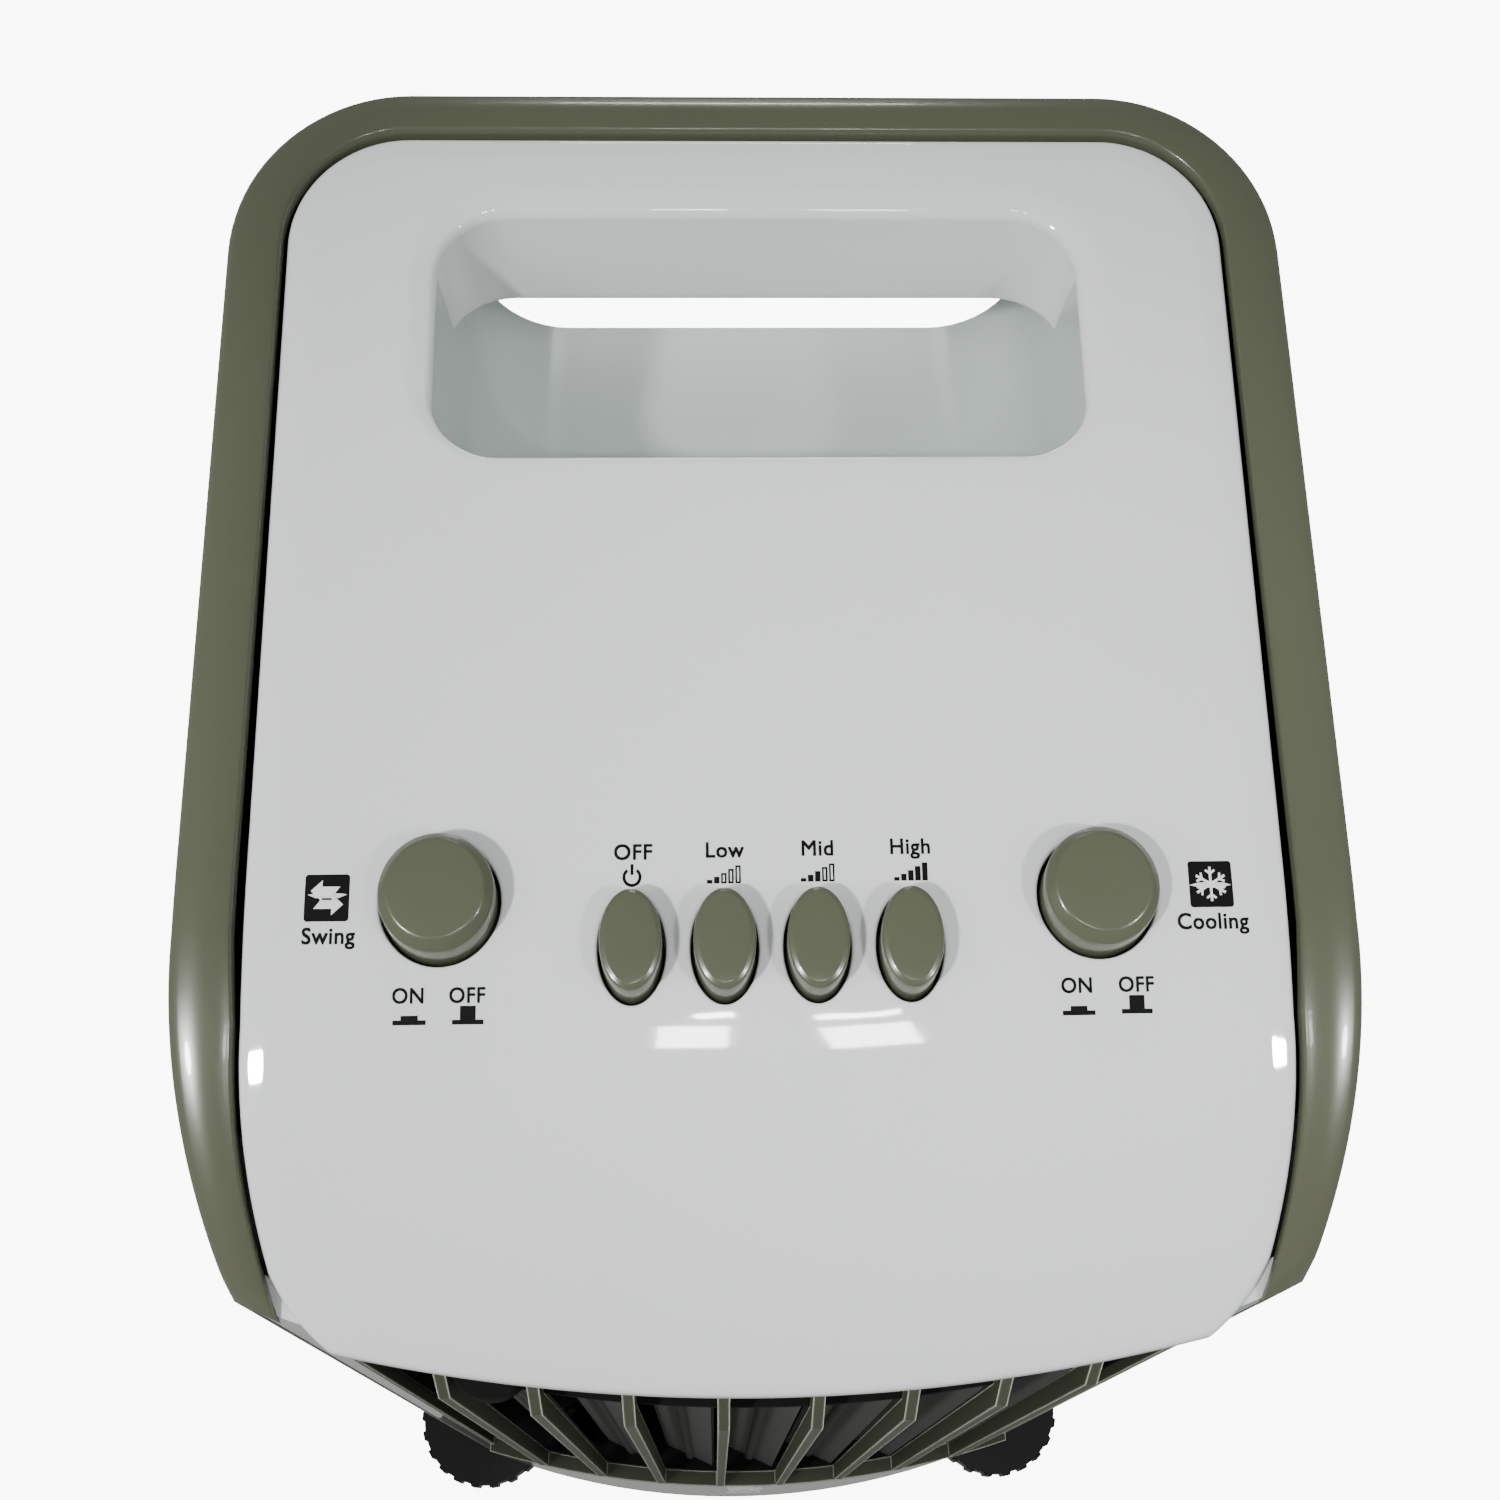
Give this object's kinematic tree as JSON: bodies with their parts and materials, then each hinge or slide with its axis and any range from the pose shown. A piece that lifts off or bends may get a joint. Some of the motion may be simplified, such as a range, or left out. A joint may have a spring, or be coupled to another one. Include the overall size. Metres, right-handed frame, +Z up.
{
  "type": "tower air cooler",
  "caption": "Portable evaporative tower air cooler with a sloped glossy control panel, carry handle recess, upright rib outlet grille, rear water tank drawer and casters.",
  "frame": {"origin": "on the floor under the middle of the cabinet's overall box", "axes": "+Z up, the outlet grille faces -Y, +X to the right of a person who faces the rear from the front"},
  "size_m": [0.32, 0.3158, 0.63],
  "materials": {
    "shell_olive": "satin",
    "panel_white": "glossy",
    "cap_olive": "glossy",
    "black_plastic": "satin",
    "grey_plastic": "satin",
    "switch_body": "satin",
    "steel": "brushed",
    "capacitor_can": "satin",
    "wheel_rubber": "matte",
    "hose_pvc": "satin",
    "pad_paper": "fibrous",
    "mesh_nylon": "woven",
    "window_clear": "clear"
  },
  "bodies": {
    "cabinet": {"rear_shell": "shell_olive", "front_shell": "panel_white", "top_panel": "panel_white", "switch_bracket": "switch_body", "key_switch_bank": "switch_body", "swing_switch": "switch_body", "cooling_switch": "switch_body", "front_grille": "shell_olive", "outlet_duct": "black_plastic", "swing_motor": "steel", "scroll_housing": "grey_plastic", "fan_motor": "steel", "motor_bracket": "steel", "dock_seal": "wheel_rubber", "drip_tray": "grey_plastic", "cooling_pad": "pad_paper", "riser_hose": "hose_pvc", "inner_deck": "black_plastic", "base": "black_plastic", "level_window": "window_clear", "cord_gland": "black_plastic", "terminal_block": "black_plastic", "motor_capacitor": "capacitor_can", "rear_screws": "steel", "base_screws": "steel"},
    "key_off": {"key_off": "cap_olive"},
    "key_low": {"key_low": "cap_olive"},
    "key_mid": {"key_mid": "cap_olive"},
    "key_high": {"key_high": "cap_olive"},
    "swing_button": {"swing_button": "cap_olive", "swing_spring": "steel"},
    "cooling_button": {"cooling_button": "cap_olive", "cooling_spring": "steel"},
    "vane_1": {"vane_1": "grey_plastic"},
    "vane_2": {"vane_2": "grey_plastic"},
    "vane_3": {"vane_3": "grey_plastic"},
    "vane_4": {"vane_4": "grey_plastic"},
    "vane_5": {"vane_5": "grey_plastic"},
    "vane_6": {"vane_6": "grey_plastic"},
    "vane_7": {"vane_7": "grey_plastic"},
    "link_bar": {"link_bar": "grey_plastic"},
    "blower": {"blower_wheel": "grey_plastic", "motor_shaft": "steel"},
    "tank": {"water_tank": "panel_white", "water_pump": "grey_plastic", "drain_plug": "black_plastic"},
    "filter": {"filter_frame": "panel_white", "dust_mesh": "mesh_nylon"},
    "caster_front_left": {"caster_fork_front_left": "black_plastic"},
    "wheels_front_left": {"caster_wheels_front_left": "wheel_rubber"},
    "caster_front_right": {"caster_fork_front_right": "black_plastic"},
    "wheels_front_right": {"caster_wheels_front_right": "wheel_rubber"},
    "caster_rear_left": {"caster_fork_rear_left": "black_plastic"},
    "wheels_rear_left": {"caster_wheels_rear_left": "wheel_rubber"},
    "caster_rear_right": {"caster_fork_rear_right": "black_plastic"},
    "wheels_rear_right": {"caster_wheels_rear_right": "wheel_rubber"}
  },
  "joints": [
    {"name": "key_off_push", "type": "slide", "parent": "cabinet", "child": "key_off", "axis": [0, 0, -1], "range_m": [0, 0.004], "stiffness_N_per_m": 400, "springref_m": -0.002},
    {"name": "key_low_push", "type": "slide", "parent": "cabinet", "child": "key_low", "axis": [0, 0, -1], "range_m": [0, 0.004], "stiffness_N_per_m": 400, "springref_m": -0.002},
    {"name": "key_mid_push", "type": "slide", "parent": "cabinet", "child": "key_mid", "axis": [0, 0, -1], "range_m": [0, 0.004], "stiffness_N_per_m": 400, "springref_m": -0.002},
    {"name": "key_high_push", "type": "slide", "parent": "cabinet", "child": "key_high", "axis": [0, 0, -1], "range_m": [0, 0.004], "stiffness_N_per_m": 400, "springref_m": -0.002},
    {"name": "swing_push", "type": "slide", "parent": "cabinet", "child": "swing_button", "axis": [0, 0, -1], "range_m": [0, 0.004], "stiffness_N_per_m": 400, "springref_m": -0.002, "deforming": ["swing_spring"]},
    {"name": "cooling_push", "type": "slide", "parent": "cabinet", "child": "cooling_button", "axis": [0, 0, -1], "range_m": [0, 0.004], "stiffness_N_per_m": 400, "springref_m": -0.002, "deforming": ["cooling_spring"]},
    {"name": "vane_1_swing", "type": "hinge", "parent": "cabinet", "child": "vane_1", "pos_m": [-0.0687, -0.14033, 0.38], "axis": [0, 0, 1], "range_deg": [-25, 25]},
    {"name": "vane_2_swing", "type": "hinge", "parent": "cabinet", "child": "vane_2", "pos_m": [-0.0458, -0.14405, 0.38], "axis": [0, 0, 1], "range_deg": [-25, 25]},
    {"name": "vane_3_swing", "type": "hinge", "parent": "cabinet", "child": "vane_3", "pos_m": [-0.0229, -0.14627, 0.38], "axis": [0, 0, 1], "range_deg": [-25, 25]},
    {"name": "vane_4_swing", "type": "hinge", "parent": "cabinet", "child": "vane_4", "pos_m": [0, -0.147, 0.38], "axis": [0, 0, 1], "range_deg": [-25, 25]},
    {"name": "vane_5_swing", "type": "hinge", "parent": "cabinet", "child": "vane_5", "pos_m": [0.0229, -0.14627, 0.38], "axis": [0, 0, 1], "range_deg": [-25, 25]},
    {"name": "vane_6_swing", "type": "hinge", "parent": "cabinet", "child": "vane_6", "pos_m": [0.0458, -0.14405, 0.38], "axis": [0, 0, 1], "range_deg": [-25, 25]},
    {"name": "vane_7_swing", "type": "hinge", "parent": "cabinet", "child": "vane_7", "pos_m": [0.0687, -0.14033, 0.38], "axis": [0, 0, 1], "range_deg": [-25, 25]},
    {"name": "link_slide", "type": "slide", "parent": "cabinet", "child": "link_bar", "axis": [1, 0, 0], "range_m": [-0.0036, 0.0036]},
    {"name": "blower_spin", "type": "hinge", "parent": "cabinet", "child": "blower", "pos_m": [0, 0.012, 0.345], "axis": [1, 0, 0], "continuous": true},
    {"name": "tank_slide", "type": "slide", "parent": "cabinet", "child": "tank", "axis": [0, 1, 0], "range_m": [0, 0.2]},
    {"name": "filter_pull", "type": "slide", "parent": "cabinet", "child": "filter", "axis": [0, 1, 0], "range_m": [0, 0.06]},
    {"name": "swivel_front_left", "type": "hinge", "parent": "cabinet", "child": "caster_front_left", "pos_m": [-0.128, -0.114, 0.05], "axis": [0, 0, 1], "continuous": true},
    {"name": "roll_front_left", "type": "hinge", "parent": "caster_front_left", "child": "wheels_front_left", "pos_m": [-0.128, -0.102, 0.02], "axis": [1, 0, 0], "continuous": true},
    {"name": "swivel_front_right", "type": "hinge", "parent": "cabinet", "child": "caster_front_right", "pos_m": [0.128, -0.114, 0.05], "axis": [0, 0, 1], "continuous": true},
    {"name": "roll_front_right", "type": "hinge", "parent": "caster_front_right", "child": "wheels_front_right", "pos_m": [0.128, -0.102, 0.02], "axis": [1, 0, 0], "continuous": true},
    {"name": "swivel_rear_left", "type": "hinge", "parent": "cabinet", "child": "caster_rear_left", "pos_m": [-0.128, 0.114, 0.05], "axis": [0, 0, 1], "continuous": true},
    {"name": "roll_rear_left", "type": "hinge", "parent": "caster_rear_left", "child": "wheels_rear_left", "pos_m": [-0.128, 0.126, 0.02], "axis": [1, 0, 0], "continuous": true},
    {"name": "swivel_rear_right", "type": "hinge", "parent": "cabinet", "child": "caster_rear_right", "pos_m": [0.128, 0.114, 0.05], "axis": [0, 0, 1], "continuous": true},
    {"name": "roll_rear_right", "type": "hinge", "parent": "caster_rear_right", "child": "wheels_rear_right", "pos_m": [0.128, 0.126, 0.02], "axis": [1, 0, 0], "continuous": true}
  ],
  "couplings": [
    {"joint": "vane_2_swing", "follows": "vane_1_swing", "ratio": 1},
    {"joint": "vane_3_swing", "follows": "vane_1_swing", "ratio": 1},
    {"joint": "vane_4_swing", "follows": "vane_1_swing", "ratio": 1},
    {"joint": "vane_5_swing", "follows": "vane_1_swing", "ratio": 1},
    {"joint": "vane_6_swing", "follows": "vane_1_swing", "ratio": 1},
    {"joint": "vane_7_swing", "follows": "vane_1_swing", "ratio": 1},
    {"joint": "link_slide", "follows": "vane_1_swing", "m_per_rad": -0.0078}
  ]
}
